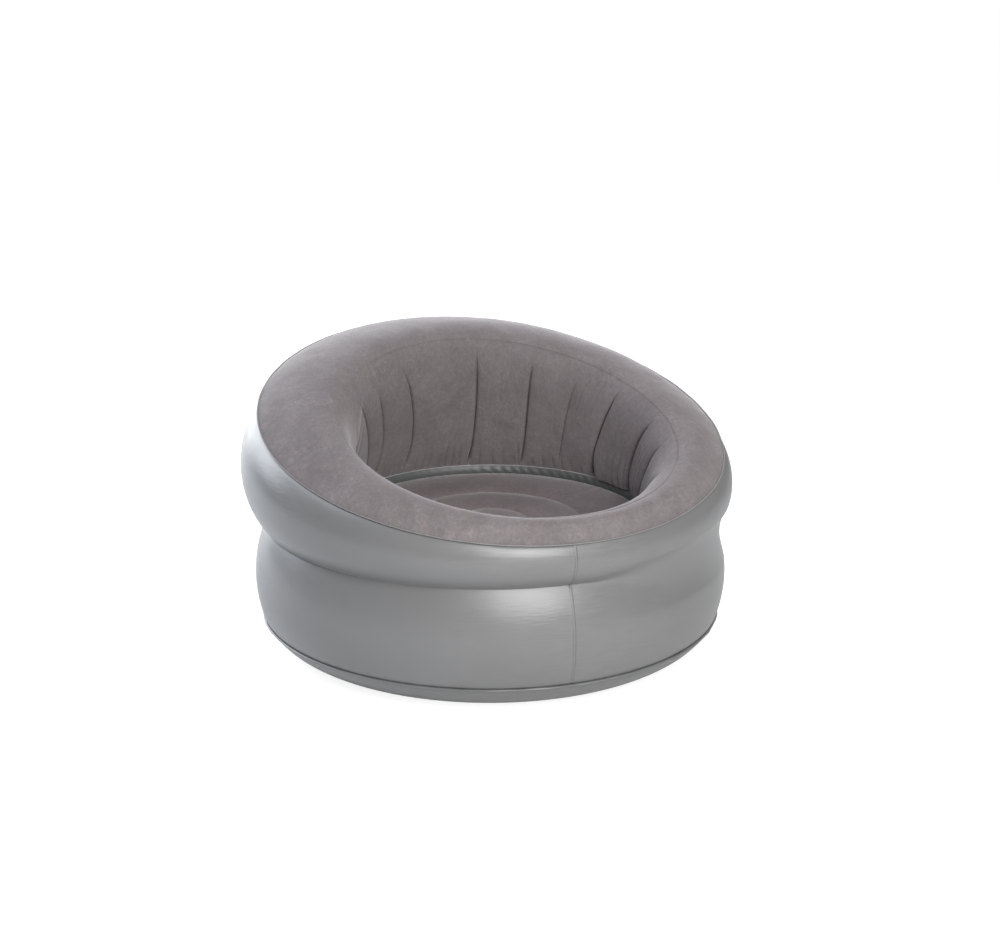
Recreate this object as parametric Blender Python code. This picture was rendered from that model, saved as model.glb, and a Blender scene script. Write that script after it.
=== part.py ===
"""A round inflatable chair: welded sheets, inner webs and a push-in air valve.

Metres, +Z up, front towards -Y. The origin is the point of the floor under the middle of the seat.
The sheets are die-cut film, blown up. Their common section runs from the middle of the base, out
to the base seam, up past the waist to the rim seam, in to the lip seam, down to the foot seam and
the seat seam, and in to the middle of the seat. Going that way, the outside is on the right.
"""
import math

import bmesh
import bpy
from mathutils import Vector

# Columns of the section round the chair, with a flat between each two: one faces straight back.
COLUMNS = 54
STEP = 2.0 * math.pi / COLUMNS

# Each seam's radius and height, as a mean, what the front gains, and what front and back gain.
BASE_SEAM = ((0.508, 0.0, 0.0), (0.063, 0.0, 0.0))
WAIST = ((0.498, -0.004, 0.0), (0.273, 0.003, 0.0))
RIM_SEAM = ((0.511, 0.007, 0.0), (0.485, -0.120, 0.0045))
LIP_SEAM = ((0.362, 0.094, 0.005), (0.519, -0.1025, -0.0075))
FOOT_SEAM = ((0.350, 0.0, 0.0), (0.2815, 0.0, 0.0))
SEAT_SEAM = ((0.3465, 0.0, 0.0), (0.261, 0.0, 0.0))

# How far the sheets swell between their seams.
LOWER_RING_RADIUS = 0.525
UPPER_RING_RADIUS = (0.5445, -0.016, 0.0)
TOP_RISE = (0.0216, -0.0022, 0.0)
WALL_RISE = (0.0268, 0.0026, 0.0)
LOWER_FLAT = 0.056
WALL_BAY_SWELL = 0.003

# Steps of the section in each sheet.
LOWER_STEPS = 2
UPPER_STEPS = 5
TOP_STEPS = 6
WALL_STEPS = 6
CURL_STEPS = 3

# The base and the seat, as radii and heights.
FLOOR_OUTER_RADIUS = 0.403
FLOOR_INNER_RADIUS = 0.330
FLOOR_MIDDLE_RADIUS = 0.050
BASE_WELD_HEIGHT = 0.020
BASE_SWELL_HEIGHT = 0.004
BASE_CURL_RISE = 0.0176
BASE_CURL_END_WAY = (0.42, 1.0)
SEAT_WELD_HEIGHT = 0.258
SEAT_CROWN_HEIGHT = 0.270
SEAT_MIDDLE_HEIGHT = 0.266
SEAT_OUTER_SHOULDER = 0.035
SEAT_MIDDLE_SHOULDER = 0.030
SEAT_INNER_SHOULDER = 0.028
OUTER_WEB_RADIUS = 0.204
INNER_WEB_RADIUS = 0.085

# Sheet stock, and the room left at the welds.
FILM = 0.0005
FLOCKED_FILM = 0.0010
GAP = 0.0003
SHEET_END = 0.0014
WEB_ROOM = 0.0008
WAIST_WEB_START = 0.0010
WAIST_WEB_END = 0.0012
WELD_HALF = 0.0007
SEAM_LAP_ANGLE = -STEP
SEAM_LAP_WIDTH = 0.008
SEAM_LAP_END = 0.004
SEAM_LAP_LIFT = 0.00036

# Each weld's reach inwards and outwards from its seam.
BASE_WELD = (0.0010, 0.0040)
RIM_WELD = (0.0010, 0.0030)
LIP_WELD = (0.0012, 0.0004)
FOOT_WELD = (0.0008, 0.0015)
SEAT_WELD = (0.0010, 0.0012)

# Air ports in the webs.
WAIST_PORTS = 8
WAIST_PORT_RADIUS = 0.015
WAIST_PORT_RING = 0.425
WEB_PORTS = 6
WEB_PORT_RADIUS = 0.018
WEB_PORT_HEIGHT = 0.140
PORT_SIDES = 12
CUTTER_LENGTH = 0.04

# Folds drawn into the inner wall: degrees at the lip, degrees at the foot, bow, bend, depth. A fold
# with a bow of 1 turns most near the lip and runs straight down at the foot, and one with a larger
# bow swings past its foot and back. The bend makes its line an S.
FOLDS = (
    (-145.8, -167.4, 2.0, 0.0, 0.006), (-120.3, -152.5, 1.6, 0.0, 0.005),
    (-101.0, -147.5, 1.1, 0.0, 0.006), (-76.0, -112.0, 0.7, 0.0, 0.006),
    (-54.0, -74.0, 0.4, 0.0, 0.006), (-30.0, -40.0, 0.2, 0.0, 0.005),
    (-7.0, -9.0, 0.0, 0.0, 0.005), (17.0, 23.0, 0.0, 0.0, 0.005),
    (37.0, 52.0, 0.2, 0.0, 0.006), (54.2, 77.0, 0.0, 0.0, 0.006),
    (70.9, 87.2, 0.35, -1.0, 0.009), (92.8, 111.7, 0.0, -0.9, 0.010),
    (108.0, 128.5, 0.3, 0.0, 0.004), (132.5, 143.5, 0.0, 0.0, 0.008),
    (162.0, 164.3, -3.3, 0.0, 0.008),
)
FOLD_HALF_WIDTH = math.radians(1.6)
BAY_WIDTH = math.radians(9.0)
FOLD_LOWNESS = 1.3

# The air valve, from the wall's outer face at the middle of the flat that faces straight back.
VALVE_SIDES = 28
FLANGE_RADIUS = 0.0255
FLANGE_THICKNESS = 0.0010
NECK_OUTER = 0.0170
NECK_BORE = 0.0135
NECK_LIP = 0.0182
NECK_TOP = 0.0070
NECK_LIP_HEIGHT = 0.0013
WALL_HOLE = 0.0175
WALL_HOLE_SIDES = 20
COLLAR_BORE = 0.0173
COLLAR_OUTER = 0.0192
COLLAR_LOW = 0.0030
COLLAR_TAB_END = 0.0206
COLLAR_TAB_HALF = math.radians(13.0)
COLLAR_TAB_CORNER = 0.02
PLUG_HINGE = (0.0209, 0.0045)
PLUG_HEAD = 0.0190
PLUG_HEAD_THICKNESS = 0.0026
PLUG_SPIGOT = 0.0129
PLUG_TIP = 0.0119
PLUG_TIP_DEPTH = -0.0050
PLUG_TAPER_START = 0.0005
THROAT = 0.0080
CAP_HINGE = (0.0134, 0.0112)
CAP_HEAD = 0.0110
CAP_HEAD_THICKNESS = 0.0022
CAP_SPIGOT = 0.0074
CAP_TIP = 0.0066
CAP_TIP_DEPTH = 0.0045
CAP_TAPER_START = 0.0085
STRAP_THICKNESS = 0.0010
STRAP_ROOM = 0.0001
HEAD_CHAMFER = 0.0005
PLUG_STRAP_WIDTH = 0.008
CAP_STRAP_WIDTH = 0.006
FLAP_RADIUS = 0.0090
FLAP_THICKNESS = 0.0007

SHARP_ANGLE = math.radians(42.0)

GREY_FILM = (0.215, 0.216, 0.216, 1.0)
BAND_FILM = (0.110, 0.124, 0.117, 1.0)
TAUPE_FLOCK = (0.262, 0.236, 0.238, 1.0)
CLEAR_GREY = (0.400, 0.400, 0.400, 1.0)
VALVE_GREY = (0.150, 0.152, 0.154, 1.0)


def clear_scene():
    for item in list(bpy.data.objects):
        bpy.data.objects.remove(item)


def make_material(name, colour, roughness):
    material = bpy.data.materials.new(name)
    material.use_nodes = True
    shader = material.node_tree.nodes["Principled BSDF"]
    shader.inputs["Base Color"].default_value = colour
    shader.inputs["Roughness"].default_value = roughness
    shader.inputs["Metallic"].default_value = 0.0
    return material


def vary(size, angle):
    """A size that changes round the chair; angle 0 is the front."""
    mean, front, ends = size
    return mean + front * math.cos(angle) + ends * math.cos(2.0 * angle)


def seam_point(seam, angle):
    return Vector((vary(seam[0], angle), vary(seam[1], angle)))


def place(angle, point):
    """A point of the section, (radius, height), turned to its angle round the chair."""
    return Vector((point.x * math.sin(angle), -point.x * math.cos(angle), point.y))


def column_angles():
    return [(k + 0.5) * STEP for k in range(COLUMNS)]


def reaching_arc(start, end, reach):
    """Centre, radius and end angles of the arc from start to end that swells out to `reach`."""
    a = reach - start.x
    b = reach - end.x
    linear = b * start.y - a * end.y
    constant = b * (a * a + start.y ** 2) - a * (b * b + end.y ** 2)
    if abs(b - a) < 1e-6:
        height = 0.5 * constant / linear
    else:
        root = math.sqrt(linear ** 2 - (b - a) * constant)
        choices = ((linear + root) / (b - a), (linear - root) / (b - a))
        height = min(choices, key=lambda value: abs(value - 0.5 * (start.y + end.y)))
    radius = (a * a + (start.y - height) ** 2) / (2.0 * a)
    centre = Vector((reach - radius, height))
    first = math.asin((start.y - height) / radius)
    last = math.asin((end.y - height) / radius)
    return centre, radius, first, last


def arc_points(centre, radius, angles):
    return [centre + radius * Vector((math.cos(f), math.sin(f))) for f in angles]


def spread(first, last, steps):
    return [first + (last - first) * i / steps for i in range(steps + 1)]


def swelling_curve(start, end, start_way, end_way, rise, steps):
    """A cubic from start to end that leaves along start_way, arrives along end_way and stands
    `rise` off the straight line between them."""
    chord = (end - start).normalized()
    turn = abs(chord.cross(start_way)) + abs(chord.cross(end_way))
    handle = 8.0 * rise / (3.0 * turn)
    one = start + handle * start_way
    two = end - handle * end_way
    points = []
    for t in spread(0.0, 1.0, steps):
        s = 1.0 - t
        points.append(s ** 3 * start + 3 * s * s * t * one + 3 * s * t * t * two + t ** 3 * end)
    return points


def parabola_way(start, end, rise, at_end):
    """The way a parabola that stands `rise` off its chord, to the right, leaves or arrives."""
    chord = (end - start).normalized()
    right = Vector((chord.y, -chord.x))
    slope = 4.0 * rise / (end - start).length
    return (chord + (-slope if at_end else slope) * right).normalized()


def lower_ring_section(angle):
    """Outer face of the lower ring, from the base seam to the waist, with one upright flat."""
    start = seam_point(BASE_SEAM, angle)
    end = seam_point(WAIST, angle)
    centre, radius, first, last = reaching_arc(start, end, LOWER_RING_RADIUS)
    flat = math.asin(0.5 * LOWER_FLAT / radius)
    angles = spread(first, -flat, LOWER_STEPS) + spread(flat, last, LOWER_STEPS)
    return arc_points(centre, radius, angles)


def upper_ring_section(angle):
    start = seam_point(WAIST, angle)
    end = seam_point(RIM_SEAM, angle)
    centre, radius, first, last = reaching_arc(start, end, vary(UPPER_RING_RADIUS, angle))
    return arc_points(centre, radius, spread(first, last, UPPER_STEPS))


def outer_wall_section(angle):
    return lower_ring_section(angle)[:-1] + upper_ring_section(angle)


def rim_way(angle):
    """Way of travel at the rim seam, half the wall's and half the top's."""
    start = seam_point(WAIST, angle)
    seam = seam_point(RIM_SEAM, angle)
    last = reaching_arc(start, seam, vary(UPPER_RING_RADIUS, angle))[3]
    up_the_wall = Vector((-math.sin(last), math.cos(last)))
    over_the_top = parabola_way(seam, seam_point(LIP_SEAM, angle), vary(TOP_RISE, angle), False)
    return (up_the_wall + over_the_top).normalized()


def lip_way(angle):
    """Way of travel at the lip seam, half the top's and half the inner wall's."""
    rim = seam_point(RIM_SEAM, angle)
    lip = seam_point(LIP_SEAM, angle)
    foot = seam_point(FOOT_SEAM, angle)
    over_the_top = parabola_way(rim, lip, vary(TOP_RISE, angle), True)
    down_the_wall = parabola_way(lip, foot, vary(WALL_RISE, angle), False)
    return (over_the_top + down_the_wall).normalized()


def top_section(angle):
    rim = seam_point(RIM_SEAM, angle)
    lip = seam_point(LIP_SEAM, angle)
    rise = vary(TOP_RISE, angle)
    return swelling_curve(rim, lip, rim_way(angle), lip_way(angle), rise, TOP_STEPS)


def inner_wall_section(angle):
    lip = seam_point(LIP_SEAM, angle)
    foot = seam_point(FOOT_SEAM, angle)
    rise = vary(WALL_RISE, angle)
    arrive = parabola_way(lip, foot, rise, True)
    return swelling_curve(lip, foot, lip_way(angle), arrive, rise, WALL_STEPS)


def band_section(angle):
    return [seam_point(FOOT_SEAM, angle), seam_point(SEAT_SEAM, angle)]


def seat_section(angle):
    """Seat from its seam to its middle: two swelling rings and a crowned disc between welds."""
    edge = seam_point(SEAT_SEAM, angle)
    outer_mid = 0.5 * (edge.x + OUTER_WEB_RADIUS)
    inner_mid = 0.5 * (OUTER_WEB_RADIUS + INNER_WEB_RADIUS)
    return [
        edge,
        Vector((outer_mid + SEAT_OUTER_SHOULDER, SEAT_CROWN_HEIGHT)),
        Vector((outer_mid - SEAT_MIDDLE_SHOULDER, SEAT_CROWN_HEIGHT)),
        Vector((OUTER_WEB_RADIUS, SEAT_WELD_HEIGHT)),
        Vector((inner_mid + SEAT_INNER_SHOULDER, SEAT_MIDDLE_HEIGHT)),
        Vector((inner_mid - SEAT_INNER_SHOULDER, SEAT_MIDDLE_HEIGHT)),
        Vector((INNER_WEB_RADIUS, SEAT_WELD_HEIGHT)),
        Vector((0.5 * INNER_WEB_RADIUS, SEAT_MIDDLE_HEIGHT)),
        Vector((0.0, SEAT_MIDDLE_HEIGHT)),
    ]


def base_section(angle):
    """Base from its middle to its seam: flat where it stands, drawn up at the webs' welds."""
    seam = seam_point(BASE_SEAM, angle)
    floor = Vector((FLOOR_OUTER_RADIUS, 0.0))
    leave = Vector((1.0, 0.0))
    arrive = Vector(BASE_CURL_END_WAY).normalized()
    middle_ring = 0.5 * (OUTER_WEB_RADIUS + INNER_WEB_RADIUS)
    return [
        Vector((0.0, 0.0)),
        Vector((FLOOR_MIDDLE_RADIUS, 0.0)),
        Vector((INNER_WEB_RADIUS, BASE_WELD_HEIGHT)),
        Vector((middle_ring, BASE_SWELL_HEIGHT)),
        Vector((OUTER_WEB_RADIUS, BASE_WELD_HEIGHT)),
        Vector((FLOOR_INNER_RADIUS, 0.0)),
    ] + swelling_curve(floor, seam, leave, arrive, BASE_CURL_RISE, CURL_STEPS)


def trimmed(points, start=0.0, end=0.0):
    """The same path with its first and last points moved in along it."""
    points = [p.copy() for p in points]
    if start:
        points[0] += start * (points[1] - points[0]).normalized()
    if end:
        points[-1] += end * (points[-2] - points[-1]).normalized()
    return points


def grid_faces(mesh, rows, closed_round, closed_section):
    """Faces between neighbouring rows of points. Points that coincide are merged afterwards."""
    verts = [[mesh.verts.new(point) for point in row] for row in rows]
    row_pairs = len(rows) if closed_round else len(rows) - 1
    length = len(rows[0])
    steps = length if closed_section else length - 1
    for k in range(row_pairs):
        here = verts[k]
        there = verts[(k + 1) % len(rows)]
        for j in range(steps):
            after = (j + 1) % length
            mesh.faces.new((here[j], there[j], there[after], here[after]))
    bmesh.ops.remove_doubles(mesh, verts=mesh.verts, dist=1e-6)


def add_object(name, mesh_data, material, parent=None):
    """Make the object; under a parent empty its mesh is measured from that empty."""
    mesh = bpy.data.meshes.new(name)
    if parent is not None:
        bmesh.ops.translate(mesh_data, verts=mesh_data.verts, vec=-parent_place(parent))
    mesh_data.to_mesh(mesh)
    mesh_data.free()
    mesh.materials.append(material)
    mesh.shade_smooth()
    mesh.set_sharp_from_angle(angle=SHARP_ANGLE)
    item = bpy.data.objects.new(name, mesh)
    bpy.context.collection.objects.link(item)
    item.parent = parent
    return item


def parent_place(empty):
    spot = Vector(empty.location)
    while empty.parent is not None:
        empty = empty.parent
        spot += Vector(empty.location)
    return spot


def thicken(item, thickness, offset=-1.0):
    solid = item.modifiers.new("Thickness", "SOLIDIFY")
    solid.thickness = thickness
    solid.offset = offset
    solid.use_even_offset = True
    solid.use_rim = True


def cut(item, cutter):
    """Take the cutter's bodies away from the item."""
    boolean = item.modifiers.new("Cut", "BOOLEAN")
    boolean.operation = "DIFFERENCE"
    boolean.solver = "EXACT"
    boolean.object = cutter


def add_sheet(name, section, thickness, material, start=SHEET_END, end=SHEET_END, offset=-1.0):
    """A die-cut sheet all round the chair, its outer face on the section."""
    mesh = bmesh.new()
    rows = []
    for angle in column_angles():
        rows.append([place(angle, p) for p in trimmed(section(angle), start, end)])
    grid_faces(mesh, rows, closed_round=True, closed_section=False)
    item = add_object(name, mesh, material)
    thicken(item, thickness, offset)
    return item


def add_weld(name, seam, before, after, reach, material):
    """A weld's bead or flange round the chair. before and after are the sheets' sections."""
    inside, outside = reach
    mesh = bmesh.new()
    rows = []
    for angle in column_angles():
        spot = seam_point(seam, angle)
        back = (before(angle)[-2] - spot).normalized()
        forward = (after(angle)[1] - spot).normalized()
        way = (forward - back).normalized()
        out = Vector((way.y, -way.x))
        corners = [
            spot - inside * out - WELD_HALF * way,
            spot + outside * out - WELD_HALF * way,
            spot + outside * out + WELD_HALF * way,
            spot - inside * out + WELD_HALF * way,
        ]
        rows.append([place(angle, corner) for corner in corners])
    grid_faces(mesh, rows, closed_round=True, closed_section=True)
    bmesh.ops.recalc_face_normals(mesh, faces=mesh.faces)
    return add_object(name, mesh, material)


def fold_angle(fold, share):
    """The angle of a fold's line round the chair, a share of the way down the wall."""
    lip, foot, bow, bend = fold[:4]
    middle = share * (1.0 - share)
    turned = share + bow * middle + bend * middle * (1.0 - 2.0 * share)
    return math.radians(lip + (foot - lip) * turned)


def fold_columns():
    """Columns of the inner wall: (fold before, fold after, margin, across, depth, swell) for each.

    A fold has its line and a column on each side of it; the bay between two folds has as many
    more as its width asks for, and swells towards the seat.
    """
    columns = []
    for index, fold in enumerate(FOLDS):
        following = FOLDS[(index + 1) % len(FOLDS)]
        if index == len(FOLDS) - 1:
            following = (following[0] + 360.0, following[1] + 360.0) + following[2:]
        columns.append((fold, following, 0.0, 0.0, fold[4], 0.0))
        width = math.radians(following[0] - fold[0]) - 2.0 * FOLD_HALF_WIDTH
        parts = max(1, round(width / BAY_WIDTH))
        for across in spread(0.0, 1.0, parts):
            swell = math.sin(math.pi * across)
            columns.append((fold, following, FOLD_HALF_WIDTH, across, 0.0, swell))
    return columns


def facet_share(angle):
    """How far in a point lies on the flat between two of the other sheets' columns."""
    off_middle = angle - round(angle / STEP) * STEP
    return math.cos(0.5 * STEP) / math.cos(off_middle)


def make_inner_wall(material):
    """Flocked wall round the seat, drawn into long folds that lean towards the back."""
    mesh = bmesh.new()
    rows = []
    for before, after, margin, across, depth, swell in fold_columns():
        row = []
        for j in range(WALL_STEPS + 1):
            share = j / WALL_STEPS
            start = fold_angle(before, share) + margin
            end = fold_angle(after, share) - margin
            angle = start + (end - start) * across
            path = trimmed(inner_wall_section(angle), SHEET_END, SHEET_END)
            point = path[j]
            fullness = math.sin(math.pi * share ** FOLD_LOWNESS)
            point.x += depth * fullness - WALL_BAY_SWELL * swell * fullness
            point.x *= facet_share(angle)
            row.append(place(angle, point))
        rows.append(row)
    grid_faces(mesh, rows, closed_round=True, closed_section=False)
    item = add_object("inner_wall", mesh, material)
    thicken(item, FLOCKED_FILM)


def make_ports(name, spots, ways, radius, sides=PORT_SIDES):
    """A hidden cutter of short round bars, one at each spot."""
    mesh = bmesh.new()
    for spot, way in zip(spots, ways):
        made = bmesh.ops.create_cone(
            mesh, cap_ends=True, segments=sides, radius1=radius, radius2=radius,
            depth=CUTTER_LENGTH)
        turn = Vector((0.0, 0.0, 1.0)).rotation_difference(way)
        bmesh.ops.rotate(mesh, verts=made["verts"], cent=(0.0, 0.0, 0.0), matrix=turn.to_matrix())
        bmesh.ops.translate(mesh, verts=made["verts"], vec=spot)
    data = bpy.data.meshes.new(name)
    mesh.to_mesh(data)
    mesh.free()
    cutter = bpy.data.objects.new(name, data)
    bpy.context.collection.objects.link(cutter)
    cutter.hide_render = True
    cutter.display_type = "WIRE"
    return cutter


def make_outer_wall(material, valve_spot):
    """One sheet for both rings, drawn in at the waist, with a round hole for the valve."""
    item = add_sheet("outer_wall", outer_wall_section, FILM, material)
    way = Vector((0.0, 1.0, 0.0))
    hole = make_ports("valve_hole_cutter", [valve_spot], [way], WALL_HOLE, WALL_HOLE_SIDES)
    cut(item, hole)


def make_waist_web(material):
    """Ring of film across the chair at the waist, from the outer wall to the foot seam."""
    def section(angle):
        waist = seam_point(WAIST, angle)
        foot = seam_point(FOOT_SEAM, angle)
        across = (foot - waist).normalized()
        return [waist + WAIST_WEB_START * across, foot - WAIST_WEB_END * across]

    item = add_sheet("waist_web", section, FILM, material, 0.0, 0.0, 0.0)
    turns = [2.0 * math.pi * (k + 0.5) / WAIST_PORTS for k in range(WAIST_PORTS)]
    height = 0.5 * (WAIST[1][0] + FOOT_SEAM[1][0])
    spots = [place(turn, Vector((WAIST_PORT_RING, height))) for turn in turns]
    ways = [Vector((0.0, 0.0, 1.0))] * WAIST_PORTS
    cut(item, make_ports("waist_port_cutter", spots, ways, WAIST_PORT_RADIUS))


def make_seat_web(name, radius, material):
    """Upright ring of film that ties the seat down to the base at one weld."""
    def section(angle):
        low = Vector((radius, BASE_WELD_HEIGHT + FILM + WEB_ROOM))
        high = Vector((radius, SEAT_WELD_HEIGHT - FLOCKED_FILM - WEB_ROOM))
        return [low, high]

    item = add_sheet(name, section, FILM, material, 0.0, 0.0, 0.0)
    turns = [2.0 * math.pi * (k + 0.5) / WEB_PORTS for k in range(WEB_PORTS)]
    spots = [place(turn, Vector((radius, WEB_PORT_HEIGHT))) for turn in turns]
    ways = [place(turn, Vector((1.0, 0.0))) for turn in turns]
    cut(item, make_ports(name + "_port_cutter", spots, ways, WEB_PORT_RADIUS))


def make_seam_lap(material):
    """The outer wall's own ends, lapped and welded in one upright strip near the front."""
    left = outer_wall_section(SEAM_LAP_ANGLE - 0.5 * STEP)
    right = outer_wall_section(SEAM_LAP_ANGLE + 0.5 * STEP)
    left = [place(SEAM_LAP_ANGLE - 0.5 * STEP, p) for p in left]
    right = [place(SEAM_LAP_ANGLE + 0.5 * STEP, p) for p in right]
    facet_width = (right[0] - left[0]).length
    rows = []
    for side in (-0.5, 0.5):
        share = 0.5 + side * SEAM_LAP_WIDTH / facet_width
        row = [a.lerp(b, share) for a, b in zip(left, right)]
        rows.append(trimmed(row, SEAM_LAP_END, SEAM_LAP_END))
    mesh = bmesh.new()
    grid_faces(mesh, rows, closed_round=False, closed_section=False)
    mesh.normal_update()
    for vert in mesh.verts:
        vert.co += SEAM_LAP_LIFT * vert.normal
    item = add_object("wall_seam_lap", mesh, material)
    thicken(item, FILM, 1.0)


def valve_centre():
    """Middle of the outer wall's flat that faces straight back."""
    ring = lower_ring_section(math.pi - 0.5 * STEP)
    low, high = ring[2], ring[3]
    depth = 0.5 * (low.x + high.x) * math.cos(0.5 * STEP)
    return Vector((0.0, depth, 0.5 * (low.y + high.y)))


def valve_point(centre, turn, radius, out):
    """A point of a round valve part: turn 0 is straight up, out is away from the wall."""
    return centre + Vector((radius * math.sin(turn), out, radius * math.cos(turn)))


def add_turned(name, centre, profile, material, parent=None):
    """A round valve part from its closed profile of (radius, out)."""
    mesh = bmesh.new()
    rows = []
    for k in range(VALVE_SIDES):
        turn = 2.0 * math.pi * (k + 0.5) / VALVE_SIDES
        rows.append([valve_point(centre, turn, radius, out) for radius, out in profile])
    hollow = profile[0][0] > 0.0
    grid_faces(mesh, rows, closed_round=True, closed_section=hollow)
    bmesh.ops.recalc_face_normals(mesh, faces=mesh.faces)
    return add_object(name, mesh, material, parent)


def make_valve_base(centre, material):
    """Flange welded behind the wall, and the neck that stands out through it."""
    flange_top = -FILM - GAP
    flange_low = flange_top - FLANGE_THICKNESS
    profile = [
        (NECK_BORE, flange_low), (FLANGE_RADIUS, flange_low), (FLANGE_RADIUS, flange_top),
        (NECK_OUTER, flange_top), (NECK_OUTER, NECK_TOP - NECK_LIP_HEIGHT),
        (NECK_LIP, NECK_TOP - NECK_LIP_HEIGHT), (NECK_LIP, NECK_TOP), (NECK_BORE, NECK_TOP),
    ]
    add_turned("valve_base", centre, profile, material)


def make_collar(centre, material):
    """Ring that holds the plug's strap round the neck, with a square tab at its top."""
    high = NECK_TOP - NECK_LIP_HEIGHT - GAP
    mesh = bmesh.new()
    rows = []
    turns = spread(COLLAR_TAB_HALF, 2.0 * math.pi - COLLAR_TAB_HALF, VALVE_SIDES)
    corner = COLLAR_TAB_HALF - COLLAR_TAB_CORNER
    turns += [-corner, 0.0, corner]
    for turn in turns:
        on_tab = abs(turn) < COLLAR_TAB_HALF
        outer = COLLAR_TAB_END / math.cos(turn) if on_tab else COLLAR_OUTER
        corners = [(COLLAR_BORE, COLLAR_LOW), (outer, COLLAR_LOW), (outer, high), (COLLAR_BORE, high)]
        rows.append([valve_point(centre, turn, radius, out) for radius, out in corners])
    grid_faces(mesh, rows, closed_round=True, closed_section=True)
    bmesh.ops.recalc_face_normals(mesh, faces=mesh.faces)
    add_object("plug_strap_collar", mesh, material)


def make_plug(centre, material, hinge):
    """Large push-in plug with the inflation throat through it."""
    low = NECK_TOP + GAP
    high = low + PLUG_HEAD_THICKNESS
    profile = [
        (THROAT, PLUG_TIP_DEPTH), (PLUG_TIP, PLUG_TIP_DEPTH), (PLUG_SPIGOT, PLUG_TAPER_START),
        (PLUG_SPIGOT, low), (PLUG_HEAD, low), (PLUG_HEAD, high - HEAD_CHAMFER),
        (PLUG_HEAD - HEAD_CHAMFER, high), (THROAT, high),
    ]
    add_turned("deflate_plug", centre, profile, material, hinge)


def add_strap(name, centre, outline, width, material, parent):
    """A flat strap: its outline of (up, out) given its width across the valve."""
    mesh = bmesh.new()
    rows = []
    for side in (-0.5, 0.5):
        rows.append([centre + Vector((side * width, out, up)) for up, out in outline])
    ends = [[mesh.verts.new(point) for point in row] for row in rows]
    mesh.faces.new(ends[0])
    mesh.faces.new(ends[1])
    count = len(outline)
    for j in range(count):
        after = (j + 1) % count
        mesh.faces.new((ends[0][j], ends[0][after], ends[1][after], ends[1][j]))
    bmesh.ops.recalc_face_normals(mesh, faces=mesh.faces)
    add_object(name, mesh, material, parent)


def make_plug_strap(centre, material, hinge):
    """From the collar's tab up beside the neck and in to the plug's head."""
    high = NECK_TOP + GAP + PLUG_HEAD_THICKNESS
    up_in = PLUG_HINGE[0] + STRAP_ROOM
    up_out = up_in + STRAP_THICKNESS
    outline = [
        (up_in, PLUG_HINGE[1]), (up_out, PLUG_HINGE[1]), (up_out, high),
        (PLUG_HEAD + GAP, high), (PLUG_HEAD + GAP, high - STRAP_THICKNESS),
        (up_in, high - STRAP_THICKNESS),
    ]
    add_strap("deflate_plug_strap", centre, outline, PLUG_STRAP_WIDTH, material, hinge)


def make_cap(centre, material, hinge):
    """Small cap that pushes into the plug's throat."""
    low = NECK_TOP + GAP + PLUG_HEAD_THICKNESS + GAP
    high = low + CAP_HEAD_THICKNESS
    profile = [
        (0.0, CAP_TIP_DEPTH), (CAP_TIP, CAP_TIP_DEPTH), (CAP_SPIGOT, CAP_TAPER_START),
        (CAP_SPIGOT, low), (CAP_HEAD, low), (CAP_HEAD, high - HEAD_CHAMFER),
        (CAP_HEAD - HEAD_CHAMFER, high), (0.0, high),
    ]
    add_turned("inflate_cap", centre, profile, material, hinge)


def make_cap_strap(centre, material, hinge):
    up, out = CAP_HINGE
    low = out - STRAP_THICKNESS
    outline = [(CAP_HEAD + GAP, low), (up, low), (up, out), (CAP_HEAD + GAP, out)]
    add_strap("inflate_cap_strap", centre, outline, CAP_STRAP_WIDTH, material, hinge)


def make_flap(centre, material, hinge):
    """Thin disc that shuts the throat from inside and opens to the pump's air."""
    high = PLUG_TIP_DEPTH - GAP
    low = high - FLAP_THICKNESS
    profile = [(0.0, low), (FLAP_RADIUS, low), (FLAP_RADIUS, high), (0.0, high)]
    add_turned("valve_flap", centre, profile, material, hinge)


def add_hinge(name, spot, parent=None):
    """An empty on a hinge's axis, which runs along X."""
    empty = bpy.data.objects.new(name, None)
    bpy.context.collection.objects.link(empty)
    empty.parent = parent
    empty.location = spot if parent is None else spot - parent_place(parent)
    return empty


def make_welds(film, flock):
    """Every seam's flange or bead, each between the two sheets that it joins."""
    add_weld("base_weld", BASE_SEAM, base_section, outer_wall_section, BASE_WELD, film)
    add_weld("rim_weld", RIM_SEAM, outer_wall_section, top_section, RIM_WELD, film)
    add_weld("lip_weld", LIP_SEAM, top_section, inner_wall_section, LIP_WELD, flock)
    add_weld("foot_weld", FOOT_SEAM, inner_wall_section, band_section, FOOT_WELD, film)
    add_weld("seat_weld", SEAT_SEAM, band_section, seat_section, SEAT_WELD, film)


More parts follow.
